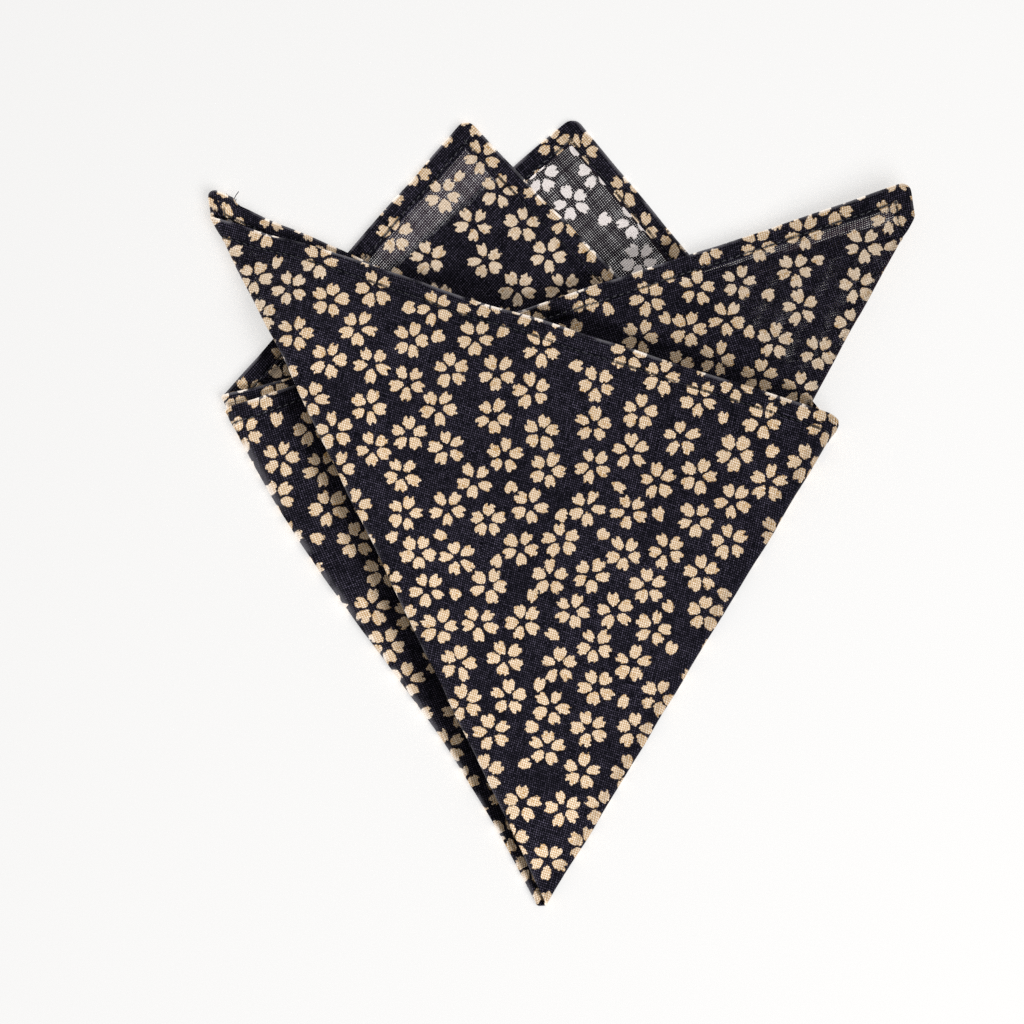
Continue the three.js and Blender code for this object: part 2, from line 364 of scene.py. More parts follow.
def side_length(name):
    return np.sum(lengths(np.diff(SIDES[name], axis=0)))


WIDTH = (side_length("upper left") + side_length("under right")) / 2
LENGTH = (side_length("under left") + side_length("upper right")) / 2


def on_side(name, share):
    """Places along a side, at shares of its length."""
    points = SIDES[name]
    steps = lengths(np.diff(points, axis=0))
    reached = np.append(0, np.cumsum(steps)) / steps.sum()
    return np.stack([np.interp(share, reached, points[:, axis]) for axis in (0, 1)], axis=-1)


def flat_place(across, down):
    """A flat place, from its shares of the way across from the upper peak to the left corner and
    down from there to the under peak."""
    a, d = across[..., None], down[..., None]
    top, foot = on_side("upper left", across), on_side("under right", 1 - across)
    start, end = on_side("upper right", 1 - down), on_side("under left", down)
    corners = (1 - a) * (1 - d) * SIDES["upper left"][0] + a * (1 - d) * SIDES["upper left"][-1]
    corners += (1 - a) * d * SIDES["under right"][-1] + a * d * SIDES["under right"][0]
    return (1 - d) * top + d * foot + (1 - a) * start + a * end - corners


def rows(size):
    """Shares of a side at which the cloth is divided: closely along the hems, evenly between."""
    count = round((size - 2 * HEM_ROWS[-1]) / SQUARE)
    between = np.linspace(HEM_ROWS[-1], size - HEM_ROWS[-1], count + 1)[1:-1]
    return np.concatenate((HEM_ROWS, between, size - np.array(HEM_ROWS[::-1]))) / size


def cut(cloth, start, end, half):
    """Divides the faces near a line along it, in the half of the cloth that lies this way."""
    start, end, half = (Vector((*place, 0)) for place in (start, end, half))
    normal = Vector((start.y - end.y, end.x - start.x, 0)).normalized()
    chosen = []
    for face in cloth.faces:
        centre = face.calc_center_median()
        if centre.dot(half) >= -NEARBY and abs((centre - start).dot(normal)) < NEARBY:
            chosen.append(face)
    edges = {edge for face in chosen for edge in face.edges}
    corners = {corner for face in chosen for corner in face.verts}
    parts = chosen + list(edges) + list(corners)
    bmesh.ops.bisect_plane(cloth, geom=parts, dist=LEAST_EDGE, plane_co=start, plane_no=normal)


def cut_at_folds(cloth):
    """Divides the flat cloth where it will bend, so that each fold is even and round."""
    for share in np.linspace(1, -1, FIRST_FOLD_STEPS + 1):
        for side in (-1, 1):
            ends = [(side * reach, share * math.pi * pitch(reach) / 4) for reach in (0, CUT_REACH)]
            cut(cloth, *ends, (side, 0))
    for crease in CREASES.values():
        for half in HALVES.values():
            for share in np.linspace(0, 1, crease["steps"] + 1):
                ends = []
                for reach in (0, CUT_REACH):
                    bent = share * bend_length(crease, reach) * crease["out"]
                    ends.append((crease_point(crease, reach) + bent) * (1, half["face"]))
                cut(cloth, *ends, (0, half["face"]))


def rounded(across, down):
    """Shares of the sides, moved so that the four corners of the cloth are round."""
    moved = []
    sizes, shares = (WIDTH, LENGTH), (across, down)
    from_ends = [np.minimum(share, 1 - share) * size for share, size in zip(shares, sizes)]
    into = [1 - distance / CORNER_ROUND for distance in from_ends]
    near = (into[0] > 0) & (into[1] > 0)
    for own, other, share, size in zip(into, into[::-1], shares, sizes):
        short = CORNER_ROUND / size * own * (1 - np.sqrt(1 - np.clip(other, 0, 1) ** 2 / 2))
        moved.append(share + np.where(near, np.where(share < 0.5, short, -short), 0))
    return moved


def flat_cloth():
    """The flat cloth: each corner's place and shares of the sides, and the triangles."""
    across, down = np.meshgrid(rows(WIDTH), rows(LENGTH), indexing="ij")
    places = flat_place(*rounded(across, down))
    cloth = bmesh.new()
    shares = [cloth.verts.layers.float.new(name) for name in ("across", "down")]
    grid = []
    for place, share in zip(places.reshape(-1, 2), np.stack((across, down), -1).reshape(-1, 2)):
        corner = cloth.verts.new((*place, 0))
        corner[shares[0]], corner[shares[1]] = share
        grid.append(corner)
    columns = places.shape[1]
    for i in range(places.shape[0] - 1):
        for j in range(columns - 1):
            k = i * columns + j
            cloth.faces.new((grid[k], grid[k + 1], grid[k + 1 + columns], grid[k + columns]))
    cut_at_folds(cloth)
    bmesh.ops.remove_doubles(cloth, verts=cloth.verts, dist=LEAST_EDGE)
    bmesh.ops.triangulate(cloth, faces=cloth.faces)
    cloth.verts.index_update()
    places = np.array([corner.co[:2] for corner in cloth.verts])
    shares = np.array([[corner[share] for share in shares] for corner in cloth.verts])
    triangles = np.array([[corner.index for corner in face.verts] for face in cloth.faces])
    rim = np.array([[end.index for end in edge.verts] for edge in cloth.edges if edge.is_boundary])
    a, b, c = (places[triangles[:, i]] for i in range(3))
    turned = (b - a)[:, 0] * (c - a)[:, 1] < (b - a)[:, 1] * (c - a)[:, 0]
    triangles[turned] = triangles[turned][:, ::-1]
    cloth.free()
    return places, shares, triangles, rim


def from_edge(shares):
    """The distance of each place from the nearest side of the cloth, and which side that is."""
    across, down = shares[:, 0] * WIDTH, shares[:, 1] * LENGTH
    distances = np.stack((down, WIDTH - across, LENGTH - down, across), axis=1)
    return distances.min(axis=1), distances.argmin(axis=1)


def outward():
    """The flat direction that leads off the cloth over each side, in from_edge's order."""
    directions = []
    for name in ("upper left", "under left", "under right", "upper right"):
        run = SIDES[name][-1] - SIDES[name][0]
        normal = np.array((-run[1], run[0])) / np.hypot(*run)
        directions.append(normal * np.sign(normal @ (SIDES[name][0] + SIDES[name][-1])))
    return np.array(directions)


def facing(points, triangles):
    """The direction that each corner of a mesh faces."""
    a, b, c = (points[triangles[:, i]] for i in range(3))
    across = np.cross(b - a, c - a)
    total = np.zeros_like(points)
    for i in range(3):
        np.add.at(total, triangles[:, i], across)
    return unit(total)


def depths(across, down):
    """How far the printed side and the wrong side lie from the middle of the sheet, at places in
    millimetres across and down it. Where two hems cross, at the corners, the cloth is thickest."""
    from_sides = np.stack((np.minimum(across, WIDTH - across), np.minimum(down, LENGTH - down)))
    nearest = from_sides.min(axis=0)
    hems = 1 - smoothstep(from_sides, *HEM["thins"])
    hem, corner = hems.max(axis=0), hems.min(axis=0) * HEM["corner"]
    sunk = HEM["sunk"] * np.exp(-(((nearest - HEM["stitch_at"]) / HEM["sunk_beside"]) ** 2))
    bulge = HEM["bulge"] * hem + corner
    near = nearest < PUCKER["fades"][1]
    pucker = unevenness(np.column_stack((across, down))[near], PUCKER["wave"], PUCKER["seed"])
    bulge[near] += PUCKER["rise"] * pucker * (1 - smoothstep(nearest[near], *PUCKER["fades"]))
    sunk_under = sunk * HEM["sunk_under"]
    return CLOTH / 2 + bulge - sunk, CLOTH / 2 + HEM["turned"] * hem + corner - sunk_under


def cloth_mesh(places, shares, triangles, rim):
    """The closed skin of the cloth: both sides and the round edge of its hem."""
    middle_points = lay(places[:, 0], places[:, 1])
    normal = facing(middle_points, triangles)
    printed, wrong = depths(*(shares * (WIDTH, LENGTH)).T)
    printed_side = middle_points + normal * printed[:, None]
    wrong_side = middle_points - normal * wrong[:, None]

    on_rim = np.unique(rim)
    off = outward()[from_edge(shares[on_rim])[1]]
    inside = places[on_rim] - off * INSIDE
    away = unit(middle_points[on_rim] - lay(inside[:, 0], inside[:, 1]))
    half = (printed_side[on_rim] - wrong_side[on_rim]) / 2
    centre = (printed_side[on_rim] + wrong_side[on_rim]) / 2
    rings = []
    for angle in np.linspace(0, math.pi, RIM_STEPS + 1)[1:-1]:
        rings.append(centre + half * math.cos(angle) + away * HEM["round"] * math.sin(angle))

    # The points round the rim, as a row from the printed side to the wrong side
    points = np.concatenate((printed_side, wrong_side, *rings))
    count = len(places)
    rows_round = np.arange(2 * count, len(points)).reshape(RIM_STEPS - 1, -1)
    rows_round = [on_rim, *rows_round, on_rim + count]
    place_in_row = {corner: i for i, corner in enumerate(on_rim)}
    edges = {(a, b) for t in triangles for a, b in ((t[0], t[1]), (t[1], t[2]), (t[2], t[0]))}
    band = []
    for a, b in rim:
        if (a, b) not in edges:
            a, b = b, a
        a, b = place_in_row[a], place_in_row[b]
        for near, far in zip(rows_round, rows_round[1:]):
            band += [(near[b], near[a], far[a]), (near[b], far[a], far[b])]
    faces = np.concatenate((triangles, triangles[:, ::-1] + count, np.array(band)))
    owner = np.concatenate((np.arange(count), np.arange(count), np.tile(on_rim, RIM_STEPS - 1)))
    points[:, 2] = np.maximum(points[:, 2], RESTS_AT)
    return points, faces, owner


# The print: blossoms of five separate petals, each notched at its outer end, and loose petals in
# the gaps between them. Their places are drawn by lot, never closer than the given distances.
PRINT_SEED = 21
BLOSSOM = {"apart": 12.3, "looser": 1.12, "reach": 6.0, "tries": 40}
LOOSE_PETAL = {"from_blossom": 8.1, "apart": 12, "reach": 2.4, "tries": 9000}
PETAL = {
    "inner": 1.45, "outer": 5.8, "width": 3.5, "notch": 0.8, "notch_width": 0.85,
    "leans": 0.16, "longer": 0.7, "wider": 0.5, "ink_edge": (-0.08, 0.16), "rim": (-0.3, 0.0),
}
PETAL_TURN = 2 * math.pi / 5
PRINT_MARGIN = 12
LOOSE = 10.0
MOTIFS_TRIED = 4


def clear_of(place, others, apart):
    return len(others) == 0 or np.min(np.sum((np.asarray(others) - place) ** 2, axis=1)) > apart**2


def blossom_places(lot, outline):
    """Places that fill the cloth evenly but by lot: each new one is tried beside an earlier one."""
    places = [np.zeros(2)]
    for place in places:
        turns = lot.uniform(0, 2 * math.pi, BLOSSOM["tries"])
        reach = BLOSSOM["apart"] * lot.uniform(1, BLOSSOM["looser"], BLOSSOM["tries"])
        tried = place + reach[:, None] * np.stack((np.cos(turns), np.sin(turns)), axis=1)
        tried = tried[past_edge(tried, outline) < PRINT_MARGIN]
        for other in tried:
            if clear_of(other, places, BLOSSOM["apart"]):
                places.append(other)
    return np.array(places)


def petal_places(lot, outline, blossoms):
    """Places for loose petals, in the gaps that the blossoms leave."""
    reach = np.abs(outline).max(axis=0)
    tried = lot.uniform(-reach, reach, (LOOSE_PETAL["tries"], 2))
    tried = tried[past_edge(tried, outline) < PRINT_MARGIN]
    places = []
    for place in tried:
        clear = clear_of(place, blossoms, LOOSE_PETAL["from_blossom"])
        if clear and clear_of(place, places, LOOSE_PETAL["apart"]):
            places.append(place)
    return np.array(places)


def print_motifs():
    """Each motif's middle, its reach, and what the material needs: the point that its petals lead
    away from, and its turn, to which LOOSE is added for a single petal."""
    lot = np.random.default_rng(PRINT_SEED)
    outline = np.array([points[0] for points in SIDES.values()])
    blossoms = blossom_places(lot, outline)
    petals = petal_places(lot, outline, blossoms)
    turns = lot.uniform(0, 2 * math.pi, len(blossoms) + len(petals))
    middles = np.concatenate((blossoms, petals))
    loose = np.arange(len(middles)) >= len(blossoms)
    half_petal = (PETAL["inner"] + PETAL["outer"]) / 2
    direction = np.stack((np.cos(turns), np.sin(turns)), axis=1)
    origins = middles - np.where(loose, half_petal, 0)[:, None] * direction
    reach = np.where(loose, LOOSE_PETAL["reach"], BLOSSOM["reach"])
    return middles, reach, np.column_stack((origins, turns + LOOSE * loose))


def nearest_motifs(places):
    """The two motifs nearest to each place."""
    middles, reach, motifs = print_motifs()
    tree = kdtree.KDTree(len(middles))
    for index, place in enumerate(middles):
        tree.insert((*place, 0), index)
    tree.balance()
    found = np.array([[row[1:] for row in tree.find_n((*place, 0), MOTIFS_TRIED)] for place in places])
    index = found[..., 0].astype(int)
    order = np.argsort(found[..., 1] - reach[index], axis=1)
    first, second = (np.take_along_axis(index, order[:, i : i + 1], axis=1)[:, 0] for i in (0, 1))
    return motifs[first], motifs[second]


# Light passes through the weave only where at most two layers lie on the surface
SHEER = {
    "edge": 1.2, "second": 0.15, "third": 0.85, "one_to_two": (1.1, 1.9), "two_to_three": (2.1, 2.9),
    "on_bodies": 0.3, "past_crease": (4, 7), "past_hem": (6.0, 6.5), "least": 0.01,
}
# Painted light along the edges: how far in the painted highlight reaches on the hems, and how wide the
# painted highlight and the painted shade are across the folds
EDGE_LIGHT_REACH = {"hem_edge": 0.5, "edge_highlight": 0.3, "fold_shade": 0.6}
UV_GAP = 0.01


def sheerness(points):
    """How freely light passes at each point: 1 where one layer lies there, 0 where many do, and 0
    along the creases, where the cloth bends round the layers inside it."""
    plan = points[:, :2]
    edge = SHEER["edge"]
    layers = sum(1 - smoothstep(past_edge(plan, outline), -edge, edge) for outline in LAYERS)
    sheer = 1 - SHEER["second"] * smoothstep(layers, *SHEER["one_to_two"])
    sheer -= SHEER["third"] * smoothstep(layers, *SHEER["two_to_three"])
    past_bodies = np.maximum(past_edge(plan, LAYERS[0]), past_edge(plan, LAYERS[1]))
    sheer *= SHEER["on_bodies"] + (1 - SHEER["on_bodies"]) * smoothstep(past_bodies, -edge, edge)
    for side, crease in CREASES.items():
        end = crease_point(crease, max(half["reach"][side] for half in HALVES.values()))
        beside = from_line(plan, crease["start"], end)
        sheer *= smoothstep(beside, *SHEER["past_crease"])
    return sheer


def painted_edge_light(places, distance):
    """Painted light on the outermost threads of the hems' edges and the folds: a painted highlight
    where it is above 0, and painted shade where it is below 0, on the folds that face the window lamp."""
    folds = []
    doubled = np.column_stack((places[:, 0], np.abs(places[:, 1])))
    for kind, crease in ((1, CREASES["left"]), (-1, CREASES["right"])):
        beyond = (doubled - crease["start"]) @ crease["out"]
        halfway = beyond / bend_length(crease, lengths(places)) - 0.5
        folds.append((halfway, kind))
    halfway = 2 * places[:, 1] / (math.pi * pitch(np.abs(places[:, 0])))
    folds.append((halfway, np.sign(places[:, 0])))
    edge_light_and_shade = 1 - smoothstep(distance, 0, EDGE_LIGHT_REACH["hem_edge"])
    for halfway, kind in folds:
        near = np.exp(-((halfway / np.where(kind > 0, EDGE_LIGHT_REACH["edge_highlight"], EDGE_LIGHT_REACH["fold_shade"])) ** 2))
        edge_light_and_shade = edge_light_and_shade * (1 - near) + kind * near
    return edge_light_and_shade


def make_cloth():
    places, shares, triangles, rim = flat_cloth()
    points, faces, owner = cloth_mesh(places, shares, triangles, rim)
    mesh = bpy.data.meshes.new("handkerchief_cloth")
    mesh.from_pydata(placed(points), [], faces.tolist())
    mesh.shade_smooth()

    # Where the print of each corner comes from: a turned hem shows the cloth beyond the edge
    side_count = len(triangles)
    side = np.repeat((0, 1, 2), (side_count, side_count, len(faces) - 2 * side_count))
    distance, nearest = from_edge(shares)
    corner = owner[faces]
    face_distance = distance[corner].mean(axis=1)
    hem = (side == 1) & (face_distance < HEM["width"])
    off = outward()[nearest[corner[:, 0]]]
    cloth_place = places[corner]
    cloth_place[hem] += 2 * distance[corner[hem]][..., None] * off[hem, None]
    wrong = np.repeat(((side == 1) & ~hem)[:, None], 3, axis=1)
    first, second = nearest_motifs(cloth_place.mean(axis=1))
    on_cloth = np.column_stack((shares * (WIDTH, LENGTH), distance))
    sheer = sheerness(points) * smoothstep(distance[owner], *SHEER["past_hem"])
    for name, domain, values in (
        ("cloth_place", "CORNER", np.dstack((cloth_place, wrong))),
        ("nearest_motif", "FACE", first),
        ("second_motif", "FACE", second),
        ("on_cloth", "POINT", on_cloth[owner]),
        ("edge_light_and_shade", "POINT", painted_edge_light(places, distance)[owner]),
        ("sheer", "POINT", sheer),
    ):
        kind, key = ("FLOAT", "value") if values.ndim == 1 else ("FLOAT_VECTOR", "vector")
        made = mesh.attributes.new(name, kind, domain)
        made.data.foreach_set(key, np.ascontiguousarray(values, np.float32).ravel())
    slots = (sheer[faces].max(axis=1) > SHEER["least"]).astype(np.int32)
    mesh.polygons.foreach_set("material_index", slots)

    # Both sides are laid out next to each other, the rim as thin strips around the printed side
    layout = shares[corner] * (0.5 - 2 * UV_GAP, 1 - 2 * UV_GAP) + UV_GAP
    layout[side == 1, :, 0] += 0.5
    shift = (shares[corner] - 0.5) * UV_GAP * (side == 2)[:, None, None]
    ring = (np.arange(len(points)) - 2 * len(places)) // len(np.unique(rim)) + 1
    ring = np.clip(ring, 0, RIM_STEPS)
    ring[len(places) : 2 * len(places)] = RIM_STEPS
    layout += shift * ring[faces][..., None] / RIM_STEPS
    mesh.uv_layers.new(name="OFBake").data.foreach_set("uv", layout.astype(np.float32).ravel())
    return added("handkerchief_cloth", mesh)


cloth = make_cloth()


# The material is built from two groups of nodes: one for the weave, one for a printed motif. Where
# two numbers stand together, an effect starts at the first and is full at the second.
WEAVE = {
    "pitch": (0.68, 0.74), "wander": 0.5, "wander_size": 0.09, "hole": 0.222,
    "hole_edge": (1.1, 0.9), "slub": 0.42, "slub_size": 1.7, "slub_stretch": 0.12,
}
SWELL = {"inner": 0.6, "outer": 0.42, "end": 1.03, "most": 0.516}
TONE_CONTRAST = 2.2
PRINT_STRAYS = 0.5
# The specks of the ground are a painted highlight on the tops of the raised threads
SPECK_HIGHLIGHT = {
    "height": (0.42, 1.0), "tone": (-0.5, 1.1), "patch": (-0.3, 0.8), "patch_size": 0.055,
    "lot": 0.75, "least": 0.35,
}
# A painted highlight on the tops of the threads in the petals
CROWN_HIGHLIGHT = {"height": (0.5, 1.0), "lot": 0.8, "least": 0.2}
# The warm tone of some petal threads, and painted shade between the threads for the shaded layer
# beneath, seen through the holes
WARM_AND_SHADE = {"tone": (0.45, -0.3), "height": (0.5, 0.15)}
LIT_THROUGH = {"sheer": (0.86, 1), "share": 0.4}
# Patches of painted highlight along the edges of the hems and the folds
EDGE_HIGHLIGHT_PATCHES = {"patch": (0.38, 0.6), "patch_size": 0.11}
# Painted shade on the folds that face the window lamp
EDGE_SHADE_SHARE = 0.55
# Painted shade along the sunken row of the stitches
GROOVE_SHADE = {"beside": (0.75, 0.2), "tone": (1.1, 0.4), "share": 0.92}
INK_FILLS = 0.65
BUMP = {"Strength": 0.5, "Distance": 0.12 * MM}
COTTON = {"Roughness": 0.9, "Specular IOR Level": 0.03, "Sheen Weight": 0.2, "Sheen Roughness": 0.2}

GROUND = (0.0015, 0.0015, 0.003, 1)
# A painted highlight on the tops of the dark threads
GROUND_SPECK_HIGHLIGHT = (0.105, 0.092, 0.137, 1)
# A painted highlight on the edges of the hems and the folds
GROUND_EDGE_HIGHLIGHT = (0.10, 0.096, 0.107, 1)
GROUND_LIT_THROUGH = (0.05, 0.028, 0.04, 1)
PETAL_COLOUR = (0.55, 0.425, 0.30, 1)
# A painted highlight on the tops of the threads in the petals
PETAL_CROWN_HIGHLIGHT = (0.93, 0.82, 0.70, 1)
# The warm tone of some petal threads, also used as painted shade between the threads
PETAL_WARM_AND_SHADE = (0.36, 0.20, 0.055, 1)
# A painted highlight on the edges of the hems and the folds
PETAL_EDGE_HIGHLIGHT = (0.84, 0.76, 0.68, 1)
PETAL_RIM = (0.03, 0.018, 0.016, 1)
WRONG_GROUND = (0.014, 0.010, 0.014, 1)
WRONG_PETAL = (0.74, 0.68, 0.66, 1)


def new_group(name, inputs, outputs):
    """A new group of nodes, what it is given, and the inputs of the node that its results go to."""
    group = bpy.data.node_groups.new(name, "ShaderNodeTree")
    for way, sockets in (("INPUT", inputs), ("OUTPUT", outputs)):
        for socket, kind in sockets.items():
            group.interface.new_socket(socket, in_out=way, socket_type="NodeSocket" + kind)
    given = group.nodes.new("NodeGroupInput").outputs
    return group, given, group.nodes.new("NodeGroupOutput").inputs


def feed(target, value):
    if isinstance(value, bpy.types.NodeSocket):
        target.id_data.links.new(value, target)
    else:
        target.default_value = value


def new_node(kind, inputs, **settings):
    """What a new node gives out. At least one of its inputs comes from another node."""
    source = next(value for value in inputs.values() if isinstance(value, bpy.types.NodeSocket))
    made = source.id_data.nodes.new("ShaderNode" + kind)
    for name, value in settings.items():
        setattr(made, name, value)
    for key, value in inputs.items():
        feed(made.inputs[key], value)
    return made.outputs


def calc(operation, *values):
    """A number worked out from numbers."""
    return new_node("Math", dict(enumerate(values)), operation=operation)[0]


def vector_calc(operation, *values):
    """A vector worked out from vectors."""
    return new_node("VectorMath", dict(enumerate(values)), operation=operation)[0]


plus, minus, times = (partial(calc, name) for name in ("ADD", "SUBTRACT", "MULTIPLY"))
divided, times_plus, whole = (partial(calc, name) for name in ("DIVIDE", "MULTIPLY_ADD", "FLOOR"))
larger, smaller, unsigned = (partial(calc, name) for name in ("MAXIMUM", "MINIMUM", "ABSOLUTE"))


def centred(vector):
    return vector_calc("SUBTRACT", vector, (0.5,) * 3)


def strayed(place, stray, reach):
    """A place moved by a random vector, up to half the reach each way."""
    return vector_calc("ADD", place, vector_calc("MULTIPLY", centred(stray), (reach,) * 3))


def parts_of(vector):
    return new_node("SeparateXYZ", {0: vector})


def vector_of(x, y, z):
    return new_node("CombineXYZ", {0: x, 1: y, 2: z})[0]


def ramp(value, limits):
    """0 up to the first limit, 1 from the second one on, and smooth between them."""
    inputs = {"Value": value, "From Min": limits[0], "From Max": limits[1]}
    return new_node("MapRange", inputs, interpolation_type="SMOOTHSTEP")["Result"]


def between(amount, first, second):
    """A colour that lies between two others."""
    return new_node("Mix", {0: amount, 6: first, 7: second}, data_type="RGBA")[2]


def waves(place, size, detail=0):
    """Soft random waves around 0.5, size of them to a millimetre: a number and a vector."""
    made = new_node("TexNoise", {"Vector": place, "Scale": size, "Detail": detail})
    return made["Fac"], made["Color"]


def by_lot(place):
    """A random number and a random vector for each whole place."""
    made = new_node("TexWhiteNoise", {"Vector": place})
    return made["Value"], made["Color"]


def weave_group():
    """Plain weave from a place in millimetres: the height of the threads, the holes between them,
    how dark or light the thread on top is, and the place as a count of threads."""
    outputs = {"Height": "Float", "Hole": "Float", "Tone": "Float", "Thread": "Vector"}
    tree, given, result = new_group("weave", {"Place": "Vector"}, outputs)
    counted = vector_calc("MULTIPLY", given["Place"], (*(1 / pitch for pitch in WEAVE["pitch"]), 1))
    stray = waves(given["Place"], WEAVE["wander_size"], 2)[1]
    a, b, _ = parts_of(strayed(counted, stray, WEAVE["wander"]))
    wave_a, wave_b = (calc("SINE", times(count, math.pi)) for count in (a, b))
    size_a, size_b = unsigned(wave_a), unsigned(wave_b)
    a_over = times_plus(times(wave_a, wave_b), 0.5, 0.5)
    lift_a, lift_b = times(size_a, a_over), times(size_b, minus(1, a_over))
    feed(result["Height"], larger(lift_a, lift_b))

    # Each thread has its own thickness, which opens or closes the holes beside it. The numbers
    # 3, 7, 5 and 9 only keep the draws apart.
    lot_a = by_lot(vector_of(calc("ROUND", a), 3, 0))[0]
    lot_b = by_lot(vector_of(7, calc("ROUND", b), 0))[0]
    thread_a = vector_of(whole(a), times(b, WEAVE["slub_stretch"]), 5)
    thread_b = vector_of(times(a, WEAVE["slub_stretch"]), whole(b), 9)
    tone_a, tone_b = (waves(thread, WEAVE["slub_size"])[0] for thread in (thread_a, thread_b))
    usual = math.sin(math.pi * WEAVE["hole"]) - WEAVE["slub"]
    filled = [
        divided(size, times_plus(plus(lot, tone), WEAVE["slub"], usual))
        for size, lot, tone in ((size_a, lot_a, tone_a), (size_b, lot_b, tone_b))
    ]
    feed(result["Hole"], ramp(larger(*filled), WEAVE["hole_edge"]))
    a_on_top = calc("GREATER_THAN", lift_a, lift_b)
    feed(result["Tone"], new_node("Mix", {0: a_on_top, 2: tone_b, 3: tone_a})[0])
    feed(result["Thread"], vector_calc("FLOOR", vector_of(a, b, 0)))
    return tree


def motif_group():
    """One printed motif: how much of its ink lies at a place, and how much of the dark rim around
    it. Each petal leans, and is longer or wider, by lot."""
    inputs = {"Place": "Vector", "Motif": "Vector"}
    tree, given, result = new_group("motif", inputs, {"Ink": "Float", "Rim": "Float"})
    start_x, start_y, turn = parts_of(given["Motif"])
    loose = calc("GREATER_THAN", turn, LOOSE - 1)
    turn = minus(turn, times(loose, LOOSE))
    x, y, _ = parts_of(given["Place"])
    x, y = minus(x, start_x), minus(y, start_y)
    from_start = calc("SQRT", plus(times(x, x), times(y, y)))
    turned = divided(minus(calc("ARCTAN2", y, x), turn), PETAL_TURN)
    petal = calc("ROUND", turned)
    off_axis = times(minus(turned, petal), PETAL_TURN)
    petal = calc("FLOORED_MODULO", petal, 5)
    leans, longer, wider = parts_of(centred(by_lot(vector_of(start_x, start_y, petal))[1]))
    off_axis = plus(off_axis, times(leans, PETAL["leans"]))
    along = times(from_start, calc("COSINE", off_axis))
    aside = unsigned(times(from_start, calc("SINE", off_axis)))
    outer = times_plus(longer, PETAL["longer"], PETAL["outer"])
    run = divided(minus(along, PETAL["inner"]), minus(outer, PETAL["inner"]))
    run = smaller(larger(run, 0.0), SWELL["end"] - 0.01)
    widest = times_plus(wider, PETAL["wider"], PETAL["width"] / 2)
    narrows = calc("POWER", minus(SWELL["end"], run), SWELL["outer"])
    swell = times(calc("POWER", run, SWELL["inner"]), narrows)
    half_width = times(widest, divided(swell, SWELL["most"]))
    notch = larger(minus(1, divided(aside, PETAL["notch_width"])), 0.0)
    to_end = minus(minus(outer, times(notch, PETAL["notch"])), along)
    inside = smaller(minus(half_width, aside), to_end)
    inside = smaller(inside, minus(along, PETAL["inner"]))
    missing = times(loose, calc("GREATER_THAN", petal, 0.5))
    inside = minus(inside, times(missing, PETAL["outer"]))
    feed(result["Ink"], ramp(inside, PETAL["ink_edge"]))
    feed(result["Rim"], ramp(inside, PETAL["rim"]))
    return tree


WEAVE_GROUP = weave_group()
MOTIF_GROUP = motif_group()


def attribute(tree, name):
    made = tree.nodes.new("ShaderNodeAttribute")
    made.attribute_name = name
    return made.outputs


def new_material(name, values):
    """A material, and the inputs of its surface, of which these are set."""
    material = bpy.data.materials.new(name)
    material.use_nodes = True
    surface = material.node_tree.nodes["Principled BSDF"].inputs
    for socket, value in values.items():
        surface[socket].default_value = value
    return material, surface


